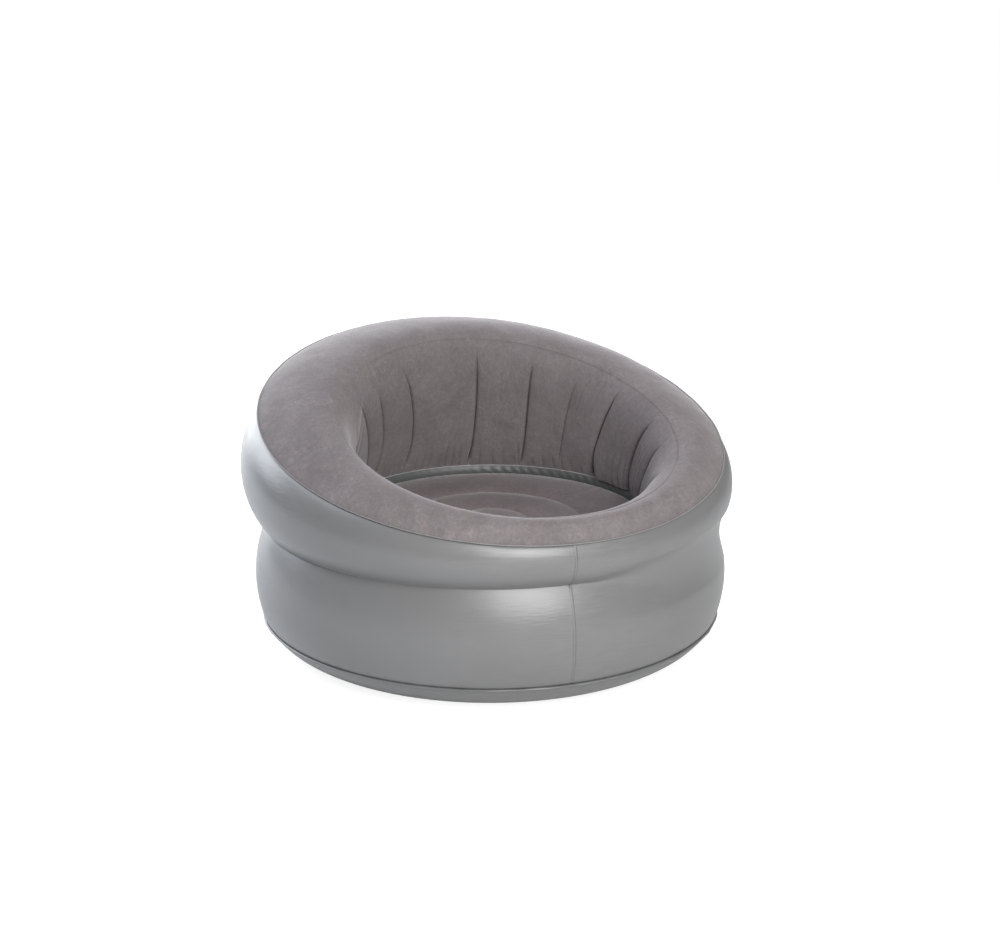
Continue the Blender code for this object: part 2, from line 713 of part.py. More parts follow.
def main():
    clear_scene()
    film = make_material("satin_film", GREY_FILM, 0.35)
    band_film = make_material("band_film", BAND_FILM, 0.40)
    flock = make_material("flocked_film", TAUPE_FLOCK, 0.95)
    inner_film = make_material("inner_film", CLEAR_GREY, 0.45)
    valve_plastic = make_material("soft_valve_plastic", VALVE_GREY, 0.50)

    centre = valve_centre()
    add_sheet("base_panel", base_section, FILM, film, 0.0, SHEET_END)
    make_outer_wall(film, centre)
    make_seam_lap(film)
    add_sheet("top_panel", top_section, FLOCKED_FILM, flock)
    make_inner_wall(flock)
    add_sheet("seat_band", band_section, FILM, band_film)
    add_sheet("seat_panel", seat_section, FLOCKED_FILM, flock, SHEET_END, 0.0)
    make_welds(film, flock)
    make_waist_web(inner_film)
    make_seat_web("seat_web_outer", OUTER_WEB_RADIUS, inner_film)
    make_seat_web("seat_web_inner", INNER_WEB_RADIUS, inner_film)

    plug_hinge = add_hinge("plug_hinge", centre + Vector((0.0, PLUG_HINGE[1], PLUG_HINGE[0])))
    cap_spot = centre + Vector((0.0, CAP_HINGE[1], CAP_HINGE[0]))
    cap_hinge = add_hinge("cap_hinge", cap_spot, plug_hinge)
    flap_spot = centre + Vector((0.0, PLUG_TIP_DEPTH - GAP, FLAP_RADIUS))
    flap_hinge = add_hinge("flap_hinge", flap_spot, plug_hinge)
    make_valve_base(centre, valve_plastic)
    make_collar(centre, valve_plastic)
    make_plug(centre, valve_plastic, plug_hinge)
    make_plug_strap(centre, valve_plastic, plug_hinge)
    make_cap(centre, valve_plastic, cap_hinge)
    make_cap_strap(centre, valve_plastic, cap_hinge)
    make_flap(centre, inner_film, flap_hinge)


main()
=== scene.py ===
"""The looks of the inflatable chair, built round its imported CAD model.

Metres, +Z up, front towards -Y. Angle 0 is the front and +X is at 90 degrees. Every sheet's section
runs the way it does in the CAD source: base middle, base seam, waist, rim seam, lip seam, foot
seam, seat seam, seat middle, with the outside on the right.
"""
import math
from collections import namedtuple

import bmesh
import bpy
import numpy as np
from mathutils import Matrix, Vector, noise


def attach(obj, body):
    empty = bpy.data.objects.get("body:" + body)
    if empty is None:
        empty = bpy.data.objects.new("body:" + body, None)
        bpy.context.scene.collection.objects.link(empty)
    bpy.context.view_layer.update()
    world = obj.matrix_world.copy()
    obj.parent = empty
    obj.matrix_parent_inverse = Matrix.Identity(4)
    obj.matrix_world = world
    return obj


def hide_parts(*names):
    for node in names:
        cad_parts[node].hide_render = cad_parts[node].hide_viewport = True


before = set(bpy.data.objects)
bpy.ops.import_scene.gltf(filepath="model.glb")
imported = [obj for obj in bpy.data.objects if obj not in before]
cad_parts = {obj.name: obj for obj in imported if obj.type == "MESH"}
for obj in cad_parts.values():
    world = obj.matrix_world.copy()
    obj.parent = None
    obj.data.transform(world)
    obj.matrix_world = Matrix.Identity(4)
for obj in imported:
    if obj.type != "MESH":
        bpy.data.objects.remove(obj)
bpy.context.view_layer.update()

# Seams, as (mean, what the front gains, what front and back gain) for the radius and the height.
BASE_SEAM = ((0.508, 0.0, 0.0), (0.063, 0.0, 0.0))
WAIST = ((0.498, -0.004, 0.0), (0.273, 0.003, 0.0))
RIM_SEAM = ((0.511, 0.007, 0.0), (0.485, -0.120, 0.0045))
LIP_SEAM = ((0.362, 0.094, 0.005), (0.519, -0.1025, -0.0075))
FOOT_SEAM = ((0.350, 0.0, 0.0), (0.2815, 0.0, 0.0))
SEAT_SEAM = ((0.3465, 0.0, 0.0), (0.261, 0.0, 0.0))
LOWER_RING_RADIUS = (0.525, 0.0, 0.0)
UPPER_RING_RADIUS = (0.5445, -0.016, 0.0)
TOP_RISE = (0.0216, -0.0022, 0.0)
WALL_RISE = (0.0268, 0.0026, 0.0)
OUTER_WELD_RADIUS = 0.204
INNER_WELD_RADIUS = 0.085
SEAT_WELD_HEIGHT = 0.258
SEAT_CROWN_HEIGHT = 0.2705
SEAT_MIDDLE_HEIGHT = 0.2665
BASE_WELD_HEIGHT = 0.020
BASE_SWELL_HEIGHT = 0.004
FLOOR_OUTER_RADIUS = 0.403
FLOOR_INNER_RADIUS = 0.330
BASE_CURL_RISE = 0.0176
FILM = 0.0005
FLOCKED_FILM = 0.0010
VALVE_HEIGHT = 0.158975
VALVE_DEPTH = 0.522708
SEAM_ANGLE = math.radians(-6.0)
VALVE_HOLE_RADIUS = 0.0172
SEAT_RADIUS = SEAT_SEAM[0][0]
SHARP_EDGE = math.radians(40.0)
FULL_TURN = 2.0 * math.pi
NOISE_GAIN = 1.6
WHITE = (1.0, 1.0, 1.0)

# Folds drawn into the inner wall. lip and foot are the degrees round the chair where a fold's line
# meets those seams. A fold with a bow of 1 turns most near the lip and runs straight down at the
# foot, and one with a larger bow swings past its foot and back. The bend makes its line an S. first
# and last say where along the wall it starts and ends, from 0 at the lip to 1 at the foot. The
# ridge stands beside it, on its left if above 0, as seen from the seat.
Fold = namedtuple("Fold", "lip foot bow bend depth half_width first last ridge", defaults=[0.0])
FOLDS = tuple(Fold(*row) for row in (
    (-145.8, -167.4, 2.0, 0.0, 0.0052, 0.0022, 0.12, 0.98, 0.0011),
    (-120.3, -152.5, 1.6, 0.0, 0.0050, 0.0026, 0.20, 1.02, 0.0012),
    (-101.0, -147.5, 1.1, 0.0, 0.0050, 0.0026, 0.18, 1.02, 0.0007),
    (-76.0, -112.0, 0.7, 0.0, 0.0060, 0.0020, 0.15, 0.98),
    (-54.0, -74.0, 0.4, 0.0, 0.0060, 0.0020, 0.15, 0.98),
    (-30.0, -40.0, 0.2, 0.0, 0.0050, 0.0020, 0.15, 0.95),
    (-7.0, -9.0, 0.0, 0.0, 0.0050, 0.0020, 0.15, 0.95),
    (17.0, 23.0, 0.0, 0.0, 0.0050, 0.0020, 0.15, 0.95),
    (37.0, 52.0, 0.2, 0.0, 0.0060, 0.0020, 0.15, 1.00),
    (54.2, 77.0, 0.0, 0.0, 0.0085, 0.0023, 0.18, 1.04, -0.0009),
    (70.9, 87.2, 0.35, -1.0, 0.0105, 0.0028, 0.08, 1.06, -0.0012),
    (92.8, 111.7, 0.0, -0.9, 0.0088, 0.0019, 0.05, 1.10, -0.0009),
    (108.0, 128.5, 0.3, 0.0, 0.0030, 0.0020, 0.15, 0.90, 0.0003),
    (132.5, 143.5, 0.0, 0.0, 0.0070, 0.0017, 0.08, 1.00, 0.0009),
    (162.0, 164.3, -3.3, 0.0, 0.0068, 0.0017, 0.05, 1.02, 0.0009),
))

# Smaller wrinkles beside the folds.
WRINKLES = tuple(Fold(*row) for row in (
    (-96.0, -136.0, 0.8, 0.0, 0.0024, 0.0022, 0.34, 0.70, 0.0003),
    (97.5, 119.0, 0.1, 0.0, 0.0012, 0.0018, 0.06, 0.50, 0.0005),
    (100.5, 122.0, 0.1, 0.0, 0.0012, 0.0018, 0.05, 0.42, 0.0005),
    (104.0, 125.0, 0.2, 0.0, 0.0014, 0.0018, 0.07, 0.55, 0.0005),
    (57.5, 79.3, 0.1, -0.3, 0.0018, 0.0014, 0.30, 1.00),
    (60.0, 81.3, 0.2, -0.5, 0.0022, 0.0014, 0.22, 1.02),
    (62.7, 82.8, 0.3, -0.7, 0.0026, 0.0014, 0.18, 1.02),
    (65.3, 84.3, 0.3, -0.8, 0.0026, 0.0014, 0.20, 1.02),
    (68.2, 85.8, 0.3, -0.9, 0.0022, 0.0014, 0.26, 1.02),
    (75.0, 90.5, 0.2, -0.9, 0.0022, 0.0015, 0.55, 1.02),
    (79.0, 94.0, 0.1, -0.8, 0.0028, 0.0015, 0.50, 1.02),
    (83.0, 98.0, 0.1, -0.8, 0.0026, 0.0015, 0.58, 1.02),
    (87.0, 102.5, 0.0, -0.6, 0.0020, 0.0015, 0.64, 1.02),
))

# The camera as fitted to the photograph: its lens, where it stands and the point that it faces.
PICTURE_WIDTH = 1000.0
FOCAL_PIXELS = 2127.3
SENSOR = 36.0
CAMERA_TURN = math.radians(-25.37)
CAMERA_RISE = 0.2942
CAMERA_DISTANCE = 4.725
CAMERA_AIM_SIDEWAYS = 0.0219
CAMERA_AIM_HEIGHT = 0.3934

# Lamps: name, degrees round the chair and upwards, distance, size, power and colour.
LAMPS = (
    ("front_softbox", -7.0, 27.0, 3.6, (1.9, 2.4), 128.0, WHITE),
    ("back_left_softbox", -138.0, 20.0, 3.0, (1.4, 1.5), 43.0, (0.86, 0.92, 1.0)),
    ("backdrop_softbox", -178.0, 14.0, 3.4, (3.0, 2.2), 108.0, (0.94, 0.96, 1.0)),
    ("left_softbox", -106.0, 44.0, 3.2, (2.0, 1.6), 24.0, (0.86, 0.91, 1.0)),
    ("right_softbox", 112.0, 45.0, 3.2, (1.8, 1.5), 43.0, WHITE),
)
WORLD_LIGHT = 0.02
WORLD_MIRRORED = 0.20


# Curves of the section

def vary(size, angle):
    """A size round the chair, from its mean and what the front, and front and back, gain."""
    mean, front, ends = size
    return mean + front * np.cos(angle) + ends * np.cos(2.0 * angle)


def seam_points(seam, angle):
    return np.stack([vary(seam[0], angle), vary(seam[1], angle)], axis=-1)


def seams_at(angle, *seams):
    return [seam_points(seam, angle) for seam in seams]


def unit(vectors):
    return vectors / np.maximum(np.linalg.norm(vectors, axis=-1, keepdims=True), 1e-12)


def right_of(way):
    """A quarter turn to the right, which is outwards for a way along the section."""
    return np.stack([way[..., 1], -way[..., 0]], axis=-1)


def place(angle, points):
    """Section points (radius, height) turned to their angles round the chair."""
    x = points[..., 0] * np.sin(angle)
    y = -points[..., 0] * np.cos(angle)
    return np.stack([x, y, points[..., 1] + 0.0 * angle], axis=-1)


def reaching_arc(start, end, reach):
    """Centre, radius and end angles of the arcs from start to end that swell out to reach."""
    a = reach - start[..., 0]
    b = reach - end[..., 0]
    linear = b * start[..., 1] - a * end[..., 1]
    constant = b * (a * a + start[..., 1] ** 2) - a * (b * b + end[..., 1] ** 2)
    root = np.sqrt(linear ** 2 - (b - a) * constant)
    middle = 0.5 * (start[..., 1] + end[..., 1])
    one = (linear + root) / (b - a)
    two = (linear - root) / (b - a)
    height = np.where(np.abs(one - middle) < np.abs(two - middle), one, two)
    radius = (a * a + (start[..., 1] - height) ** 2) / (2.0 * a)
    centre = np.stack([reach - radius, height], axis=-1)
    first = np.arcsin((start[..., 1] - height) / radius)
    last = np.arcsin((end[..., 1] - height) / radius)
    return centre, radius, first, last


def on_arc(arc, share):
    centre, radius, first, last = arc
    turn = first + (last - first) * share
    return centre + radius[..., None] * np.stack([np.cos(turn), np.sin(turn)], axis=-1)


def swelling_curve(start, end, start_way, end_way, rise, share):
    """Points of the cubic that leaves and arrives along the ways and stands `rise` off its chord."""
    chord = unit(end - start)

    def turn_to(way):
        return np.abs(chord[..., 0] * way[..., 1] - chord[..., 1] * way[..., 0])

    handle = (8.0 * rise / (3.0 * (turn_to(start_way) + turn_to(end_way))))[..., None]
    one = start + handle * start_way
    two = end - handle * end_way
    t = share[..., None]
    s = 1.0 - t
    return s ** 3 * start + 3 * s * s * t * one + 3 * s * t * t * two + t ** 3 * end


def parabola_way(start, end, rise, at_end):
    """The way in which a parabola that stands `rise` off its chord leaves or arrives."""
    chord = unit(end - start)
    slope = (4.0 * rise / np.linalg.norm(end - start, axis=-1))[..., None]
    return unit(chord + (-slope if at_end else slope) * right_of(chord))


def upper_arc(angle):
    waist, rim = seams_at(angle, WAIST, RIM_SEAM)
    return reaching_arc(waist, rim, vary(UPPER_RING_RADIUS, angle))


def lower_arc(angle):
    base, waist = seams_at(angle, BASE_SEAM, WAIST)
    return reaching_arc(base, waist, vary(LOWER_RING_RADIUS, angle))


def rim_way(angle):
    last = upper_arc(angle)[3]
    up_the_wall = np.stack([-np.sin(last), np.cos(last)], axis=-1)
    rim, lip = seams_at(angle, RIM_SEAM, LIP_SEAM)
    return unit(up_the_wall + parabola_way(rim, lip, vary(TOP_RISE, angle), False))


def lip_way(angle):
    rim, lip, foot = seams_at(angle, RIM_SEAM, LIP_SEAM, FOOT_SEAM)
    over_the_top = parabola_way(rim, lip, vary(TOP_RISE, angle), True)
    down_the_wall = parabola_way(lip, foot, vary(WALL_RISE, angle), False)
    return unit(over_the_top + down_the_wall)


def top_points(angle, share):
    rim, lip = seams_at(angle, RIM_SEAM, LIP_SEAM)
    return swelling_curve(rim, lip, rim_way(angle), lip_way(angle), vary(TOP_RISE, angle), share)


def wall_points(angle, share):
    lip, foot = seams_at(angle, LIP_SEAM, FOOT_SEAM)
    rise = vary(WALL_RISE, angle)
    arrive = parabola_way(lip, foot, rise, True)
    return swelling_curve(lip, foot, lip_way(angle), arrive, rise, share)


def round_corner(section, corner, reach):
    """Round the section at one point with a curve that starts and ends `reach` points from it."""
    result = section.copy()
    start = section[:, corner - reach]
    end = section[:, corner + reach]
    middle = section[:, corner]
    for i in range(-reach + 1, reach):
        t = (i + reach) / (2.0 * reach)
        result[:, corner + i] = (1 - t) ** 2 * start + 2 * t * (1 - t) * middle + t * t * end
    return result


# Angles, shares and noise

def around(count):
    """Evenly spaced angles round the chair from 0."""
    return np.arange(count) * (FULL_TURN / count)


def signed(angle):
    """The same angle within half a turn of 0."""
    return (angle + math.pi) % FULL_TURN - math.pi


def signed_degrees(angle):
    return (np.degrees(angle) + 180.0) % 360.0 - 180.0


def smooth(value):
    """0 below 0, 1 above 1, and a smooth step between."""
    value = np.clip(value, 0.0, 1.0)
    return value * value * (3.0 - 2.0 * value)


def peak(distance, reach):
    """1 at no distance, falling away to either side like a bell."""
    return np.exp(-(distance / reach) ** 2)


def dense_ends(steps, pull):
    """Shares from 0 to 1 that lie closer together near both ends."""
    u = np.linspace(0.0, 1.0, steps)
    return u - pull * np.sin(FULL_TURN * u) / FULL_TURN


def edge_free(steps):
    """0 at both ends of a section and 1 over its middle."""
    u = np.linspace(0.0, 1.0, steps)
    return np.clip(np.minimum(u, 1.0 - u) / 0.15, 0.0, 1.0)


def ripple(angle, waves, seed):
    """Smooth noise that closes on itself round the chair, about -1 to 1."""
    reach = waves / FULL_TURN
    values = [noise.noise(Vector((reach * math.cos(a), reach * math.sin(a), 7.3 * seed)))
              for a in np.ravel(angle)]
    return np.reshape(values, np.shape(angle)) * NOISE_GAIN


def dimples(points, scale, seed):
    """Smooth noise over points in space, about -1 to 1."""
    flat = np.reshape(points, (-1, 3)) * scale + 11.7 * seed
    values = [noise.noise(Vector(p)) for p in flat]
    return np.reshape(values, np.shape(points)[:-1]) * NOISE_GAIN


# Meshes

def grid_normals(grid, closed_round):
    if closed_round:
        round_it = np.roll(grid, -1, axis=0) - np.roll(grid, 1, axis=0)
    else:
        round_it = np.gradient(grid, axis=0)
    along = np.gradient(grid, axis=1)
    return unit(np.cross(round_it, along))


def new_mesh(name, verts, faces):
    mesh = bpy.data.meshes.new(name)
    mesh.from_pydata([tuple(v) for v in verts], [], [tuple(f) for f in faces])
    return mesh


def add_object(name, data):
    item = bpy.data.objects.new(name, data)
    bpy.context.scene.collection.objects.link(item)
    return item


def make_piece(name, verts, faces, material):
    """A smooth piece that rides on the chair."""
    mesh = new_mesh(name, verts, faces)
    mesh.materials.append(material)
    mesh.shade_smooth()
    mesh.validate()
    item = add_object(name, mesh)
    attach(item, "chair")
    return item


def stand_for(item, node):
    """The piece takes a CAD node's place."""
    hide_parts(node)


def apply_modifiers(item):
    graph = bpy.context.evaluated_depsgraph_get()
    made = bpy.data.meshes.new_from_object(item.evaluated_get(graph))
    item.modifiers.clear()
    item.data = made


def grid_quads(rows, steps, closed_round, closed_section=False):
    """Quads of a grid of points, as an array of four indices each."""
    row_pairs = rows if closed_round else rows - 1
    step_pairs = steps if closed_section else steps - 1
    k, j = np.meshgrid(np.arange(row_pairs), np.arange(step_pairs), indexing="ij")
    here = k * steps
    after_k = (k + 1) % rows * steps
    after_j = (j + 1) % steps
    corners = [here + j, after_k + j, after_k + after_j, here + after_j]
    return np.stack(corners, axis=-1).reshape(-1, 4)


def make_shell(name, grid, thickness, material, closed_round=True, crease=None):
    """A thin closed sheet whose outer face is the grid of points.

    crease says, from 0 to 1, how deep in a crease each point lies; the materials darken their colour
    by it, as painted shade.
    """
    rows, steps = grid.shape[:2]
    count = rows * steps
    inside = grid - thickness * grid_normals(grid, closed_round)
    verts = np.concatenate([grid.reshape(-1, 3), inside.reshape(-1, 3)])
    outer = grid_quads(rows, steps, closed_round)
    row = np.arange(rows if closed_round else rows - 1) * steps
    after = (row + steps) % count
    last = steps - 1
    borders = [(after, row), (row + last, after + last)]
    if not closed_round:
        step = np.arange(last)
        end = step + count - steps
        borders += [(step, step + 1), (end + 1, end)]
    faces = [outer, outer[:, ::-1] + count]
    faces += [np.stack([a, b, b + count, a + count], axis=-1) for a, b in borders]
    item = make_piece(name, verts, np.concatenate(faces), material)
    if crease is not None:
        depth = item.data.attributes.new("crease", "FLOAT", "POINT")
        depth.data.foreach_set("value", np.tile(np.ravel(crease), 2).astype(np.float32))
    return item


def ring_counts(radii, limits):
    """How many points each ring of a disc has: half as many inside each limit."""
    return [384 // 2 ** sum(radius <= limit for limit in limits) for radius in radii]


def disc_points(section, stops, counts):
    """Points ring by ring. section(angle, stop) gives the section points of the ring at a stop."""
    rings = []
    for stop, count in zip(stops, counts):
        angle = around(count)
        rings.append(place(angle, section(angle, np.full(count, stop))))
    return np.concatenate(rings)


def disc_faces(counts, upwards=True):
    """Faces between rings with those counts of points, from the edge in to one middle point."""
    faces = []
    a = 0
    for here, there in zip(counts[:-1], counts[1:]):
        b = a + here
        for k in range(there):
            n = (k + 1) % there
            if here == there:
                faces.append((a + k, a + n, b + n, b + k))
            else:
                one, two, three = a + 2 * k, a + 2 * k + 1, a + (2 * k + 2) % here
                faces += [(one, two, b + k), (two, three, b + n), (two, b + n, b + k)]
        a = b
    last = counts[-1]
    faces += [(a + k, a + (k + 1) % last, a + last) for k in range(last)]
    return faces if upwards else [face[:1] + face[:0:-1] for face in faces]


def make_disc(name, outer, inner, counts, material, upwards=True):
    """A thin closed round sheet from the points of its two sides."""
    faces = disc_faces(counts, upwards)
    total = len(outer)
    back = [tuple(i + total for i in reversed(face)) for face in faces]
    edge = []
    for k in range(counts[0]):
        n = (k + 1) % counts[0]
        edge.append((k, k + total, n + total, n) if upwards else (k, n, n + total, k + total))
    return make_piece(name, np.concatenate([outer, inner]), faces + back + edge, material)


# Materials

class Look:
    """A material's or the world's nodes, with short ways to add the ones that are used often."""

    def __init__(self, owner):
        owner.use_nodes = True
        self.nodes = owner.node_tree.nodes
        self.links = owner.node_tree.links

    def feed(self, node, inputs):
        """Set or link a node's inputs, each by its name or number."""
        for key, value in inputs.items():
            if isinstance(value, bpy.types.NodeSocket):
                self.links.new(value, node.inputs[key])
            else:
                node.inputs[key].default_value = value

    def add(self, kind, inputs, **settings):
        node = self.nodes.new("ShaderNode" + kind)
        for key, value in settings.items():
            setattr(node, key, value)
        self.feed(node, inputs)
        return node

    def place(self, scale=None):
        """Coordinates in metres, or scaled."""
        where = self.add("TexCoord", {}).outputs["Object"]
        if scale is None:
            return where
        return self.add("Mapping", {"Vector": where, "Scale": scale}).outputs["Vector"]

    def noise(self, vector, scale, detail=2.0, roughness=0.5, distortion=0.0):
        inputs = {"Vector": vector, "Scale": scale, "Detail": detail, "Roughness": roughness,
                  "Distortion": distortion}
        return self.add("TexNoise", inputs).outputs["Fac"]

    def spread(self, value, low, high, from_low=0.3, from_high=0.7):
        """The value brought from one range to another and held in it."""
        inputs = {"Value": value, "From Min": from_low, "From Max": from_high, "To Min": low,
                  "To Max": high}
        return self.add("MapRange", inputs).outputs["Result"]

    def math(self, operation, one, two=0.0):
        return self.add("Math", {0: one, 1: two}, operation=operation).outputs[0]

    def times(self, one, two):
        return self.math("MULTIPLY", one, two)

    def plus(self, one, two):
        return self.math("ADD", one, two)

    def off(self, value, middle):
        """How far the value is from the middle, either way."""
        return self.math("ABSOLUTE", self.math("SUBTRACT", value, middle))

    def length(self, vector):
        return self.add("VectorMath", {0: vector}, operation="LENGTH").outputs["Value"]

    def tinted(self, colour, factor):
        """The colour times a varying factor."""
        return self.add("VectorMath", {0: colour, "Scale": factor}, operation="SCALE").outputs[0]

    def with_painted_shade(self, shade, factor):
        """The shade, darker by the factor deep in a crease: painted shade where the crease's shadow
        falls.
        """
        depth = self.add("Attribute", {}, attribute_name="crease").outputs["Fac"]
        return self.times(shade, self.spread(depth, 1.0, factor, 0.0, 1.0))

    def bump(self, height, strength, distance, before=None):
        inputs = {"Height": height, "Strength": strength, "Distance": distance}
        if before is not None:
            inputs["Normal"] = before
        return self.add("Bump", inputs).outputs["Normal"]


def new_material(name):
    material = bpy.data.materials.new(name)
    look = Look(material)
    return material, look, look.nodes["Principled BSDF"]


def film_material(name, colour, roughness, streaks=0.2):
    """Satin film, faintly mottled, with fine level streaks of tension at the front and the left: in
    bumps and roughness, and as painted highlight streaks in the colour.
    """
    material, look, shader = new_material(name)
    where = look.place()
    parts = look.add("SeparateXYZ", {0: where}).outputs
    cloud = look.noise(where, 7.0, 3.0)
    grain = look.noise(where, 900.0)
    streak = look.noise(look.place((28.0, 28.0, 300.0)), 1.0, 1.0)
    front = look.spread(parts["Y"], 1.0, 0.0, -0.50, -0.40)
    left = look.spread(parts["X"], 0.7, 0.0, -0.52, -0.40)
    some = look.spread(look.noise(where, 4.0), 0.35, 1.0, 0.35, 0.6)
    strength = look.times(look.math("MAXIMUM", front, left), some)
    strength = look.times(strength, look.spread(parts["X"], 1.0, 0.35, 0.02, 0.22))
    # Painted highlight: the streaks also lighten and darken the colour, at the front and the left
    # where the lamps' highlights fall.
    lines = look.times(look.spread(streak, -0.060, 0.060), strength)
    shade = look.times(look.spread(cloud, 0.97, 1.03), look.spread(grain, 0.975, 1.025))
    # Painted shade from the sheet's crease values: along the waist, rim and base seams and the lap's
    # edge.
    shade = look.with_painted_shade(look.times(shade, look.plus(lines, 1.0)), 0.50)
    rough = look.plus(look.spread(cloud, roughness - 0.03, roughness + 0.03),
                      look.times(strength, look.spread(streak, -0.08, 0.08)))
    fine = look.bump(grain, 0.10, 0.0002)
    look.feed(shader, {
        "Base Color": look.tinted(colour, shade), "Roughness": rough, "IOR": 1.62,
        "Normal": look.bump(look.times(streak, strength), streaks, 0.0006, fine)})
    return material


def flock_material(name, colour, rings=()):
    """Flocked film: a short nap with patches and strokes, a soft sheen and pressed rings."""
    material, look, shader = new_material(name)
    where = look.place()
    patches = look.noise(where, 11.0, 5.0, 0.62, 0.8)
    mottle = look.noise(where, 95.0, 3.0, 0.6, 0.5)
    grain = look.noise(where, 1400.0)
    shade = look.times(look.spread(patches, 0.89, 1.11), look.spread(mottle, 0.94, 1.06))
    for scale in ((18.0, 110.0, 50.0), (110.0, 18.0, 50.0), (240.0, 60.0, 60.0),
                  (60.0, 220.0, 60.0), (130.0, 130.0, 40.0)):
        stroke = look.noise(look.place(scale), 1.0, 2.0, 0.55, 1.6)
        shade = look.times(shade, look.spread(stroke, 0.965, 1.04))
    shade = look.times(shade, look.spread(grain, 0.93, 1.07))
    for scale, width, gain in ((24.0, 0.026, 0.14), (55.0, 0.055, 0.10), (95.0, 0.080, -0.06)):
        shade = look.times(shade, nap_curls(look, where, scale, width, gain))
    for radius in rings:
        shade = look.times(shade, ring_mark(look, where, radius, 0.0022, 1.28))
    warmth = look.spread(look.noise(where, 34.0, 4.0, 0.65, 0.6), 0.0, 1.0)
    cool = (*np.multiply(colour, (0.98, 1.005, 1.015)), 1.0)
    warm = (*np.multiply(colour, (1.025, 0.995, 0.98)), 1.0)
    tone = look.add("Mix", {"Factor": warmth, 6: cool, 7: warm}, data_type="RGBA").outputs[2]
    nap = look.bump(grain, 0.35, 0.0006)
    brushed = look.bump(mottle, 0.45, 0.0010, nap)
    # The colour takes painted shade deep in the inner wall's folds.
    look.feed(shader, {
        "Base Color": look.tinted(tone, look.with_painted_shade(shade, 0.25)), "Roughness": 0.95,
        "Specular IOR Level": 0.2, "Sheen Weight": 0.45, "Sheen Roughness": 0.35,
        "Sheen Tint": (0.97, 0.94, 0.96, 1.0),
        "Normal": look.bump(patches, 0.4, 0.0016, brushed)})
    return material


def nap_curls(look, where, scale, width, gain):
    """Thin curly strokes in the nap, pale for a gain above 0, in some places more than others."""
    hills = look.noise(where, scale, 1.0, 0.5, 1.4)
    line = look.spread(look.off(hills, 0.5), 1.0, 0.0, 0.3 * width, width)
    some = look.spread(look.noise(where, 0.35 * scale), 0.1 * gain, gain, 0.42, 0.60)
    return look.plus(look.times(line, some), 1.0)


def ring_mark(look, where, radius, half_width, factor):
    """A factor along a ring of the radius round the chair's middle, and 1 elsewhere."""
    flat = look.add("VectorMath", {0: where, 1: (1.0, 1.0, 0.0)}, operation="MULTIPLY").outputs[0]
    off = look.off(look.length(flat), radius)
    return look.spread(off, factor, 1.0, 0.4 * half_width, half_width)


def plastic_material(name, colour, roughness):
    """Moulded plastic with a fine grain and faint clouds."""
    material, look, shader = new_material(name)
    where = look.place()
    cloud = look.noise(where, 60.0, 3.0)
    look.feed(shader, {
        "Base Color": look.tinted(colour, look.spread(cloud, 0.94, 1.06)),
        "Roughness": look.spread(cloud, roughness - 0.04, roughness + 0.04),
        "Normal": look.bump(look.noise(where, 1600.0), 0.15, 0.0001)})
    return material


FILM_GREY = film_material("look_film", (0.186, 0.185, 0.186), 0.36, 0.85)
BAND_GREEN = film_material("look_band", (0.098, 0.105, 0.101), 0.50)
WELD_GREY = film_material("look_weld", (0.170, 0.171, 0.172), 0.42)
EDGE_GREY = film_material("look_weld_edge", (0.400, 0.388, 0.392), 0.40)
SEAT_EDGE = film_material("look_seat_edge", (0.215, 0.206, 0.208), 0.62)
# The rim flange's pale grey, lighter than the flock and the film it joins, is in part painted
# highlight: the lit line along the flange's edge.
RIM_FLANGE_AND_HIGHLIGHT = film_material("look_rim_flange_and_highlight", (0.290, 0.280, 0.284), 0.45)
FLOCK = flock_material("look_flock", (0.203, 0.182, 0.185))
SEAT_FLOCK = flock_material(
    "look_seat_flock", (0.204, 0.173, 0.177), (OUTER_WELD_RADIUS, INNER_WELD_RADIUS))
INNER_FILM = film_material("look_inner_film", (0.400, 0.400, 0.400), 0.45)
VALVE = plastic_material("look_valve", (0.150, 0.152, 0.154), 0.48)


# Outer wall and rim

def make_outer_wall():
    angle = (SEAM_ANGLE + around(400))[:, None]
    share = dense_ends(34, 0.84)[None, :]
    turn = angle + 0.0 * share
    lower = on_arc(lower_arc(turn), share)[:, :-1]
    section = np.concatenate([lower, on_arc(upper_arc(turn), share)], axis=1)
    waist = lower.shape[1]
    degrees = signed_degrees(angle)
    soft_side = smooth((degrees + 7.0) / 30.0) * smooth((84.0 - degrees) / 30.0)
    crisp = round_corner(section, waist, 2)
    section = crisp + (round_corner(section, waist, 15) - crisp) * soft_side[..., None]
    grid = flatten_at_valve(place(angle + np.zeros(section.shape[:2]), section))
    pinch, painted_shade = seam_lines(section, waist, degrees, 1.0 - soft_side)
    grid = grid + grid_normals(grid, True) * (wall_dimples(grid) - pinch)[..., None]
    item = make_shell("wall_skin", grid, FILM, FILM_GREY, crease=painted_shade)
    cut_valve_hole(item)
    stand_for(item, "outer_wall")


